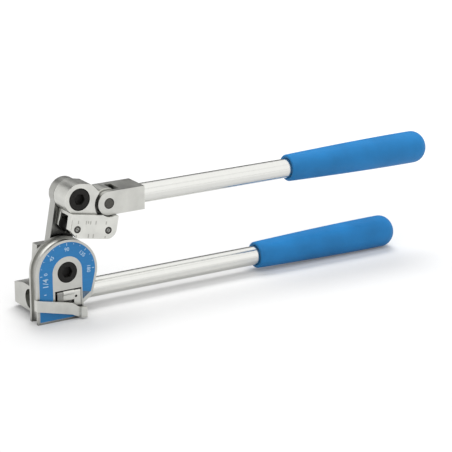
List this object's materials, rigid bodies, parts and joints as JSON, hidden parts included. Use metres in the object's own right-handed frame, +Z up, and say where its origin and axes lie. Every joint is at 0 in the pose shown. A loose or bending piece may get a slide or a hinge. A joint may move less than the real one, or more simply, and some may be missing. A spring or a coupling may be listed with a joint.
{
  "type": "tube bender",
  "caption": "Hand tube bender with a grooved bend die on a fixed handle, a swinging link, a roll support with grooved rolls, a hinged clevis handle and a tube latch.",
  "frame": {"origin": "on the die's flat foot, straight below the die pivot, in the middle plane of the tube groove", "axes": "+X along the handles towards the grips, +Y away from the scale face, +Z up from the foot"},
  "size_m": [0.284, 0.0441, 0.0819],
  "materials": {
    "satin_nickel": "satin nickel plate",
    "scale_blue": "blue plate with white marks",
    "black_steel": "black oxide",
    "plain_steel": "plain ground steel",
    "bright_steel": "polished",
    "bronze": "plain bearing bronze",
    "grip_blue": "satin moulded"
  },
  "bodies": {
    "base": {"bend_die": "satin_nickel", "scale_plate": "scale_blue", "pivot_screw": "black_steel", "pivot_sleeve": "plain_steel", "pivot_washers": "bronze", "handle_bracket": "satin_nickel", "locating_dowels": "plain_steel", "lower_rod": "bright_steel", "lower_rod_pin": "plain_steel", "lower_grip": "grip_blue", "latch_pin": "black_steel", "latch_spacers": "plain_steel"},
    "tube_latch": {"latch": "satin_nickel"},
    "swing_link": {"link": "satin_nickel", "link_bush": "bronze", "upper_pivot_screw": "black_steel", "upper_pivot_nut": "black_steel"},
    "support": {"roll_support": "satin_nickel", "support_bush": "bronze", "front_cheek": "satin_nickel", "roll_axles": "black_steel", "tongue_bush": "bronze"},
    "roll_1": {"leading_roll": "black_steel"},
    "roll_2": {"trailing_roll": "black_steel"},
    "upper_handle": {"clevis": "satin_nickel", "clevis_pin": "black_steel", "upper_rod": "bright_steel", "upper_rod_pin": "plain_steel", "upper_grip": "grip_blue"}
  },
  "joints": [
    {"name": "link_swing", "type": "hinge", "parent": "base", "child": "swing_link", "pos_m": [0, 0, 0.0293], "axis": [0, 1, 0], "range_deg": [-100.5, 6]},
    {"name": "support_tilt", "type": "hinge", "parent": "swing_link", "child": "support", "pos_m": [0.00802, 0, 0.07256], "axis": [0, 1, 0], "range_deg": [-40, 3]},
    {"name": "handle_swing", "type": "hinge", "parent": "support", "child": "upper_handle", "pos_m": [0.02737, 0, 0.06725], "axis": [0, 1, 0], "range_deg": [-80, 0]},
    {"name": "leading_roll_spin", "type": "hinge", "parent": "support", "child": "roll_1", "pos_m": [0.00488, 0, 0.05565], "axis": [0, 1, 0], "continuous": true},
    {"name": "trailing_roll_spin", "type": "hinge", "parent": "support", "child": "roll_2", "pos_m": [0.02514, 0, 0.0519], "axis": [0, 1, 0], "continuous": true},
    {"name": "latch_swing", "type": "hinge", "parent": "base", "child": "tube_latch", "pos_m": [0, -0.0032, 0.0163], "axis": [-1, 0, 0], "range_deg": [0, 50]}
  ]
}
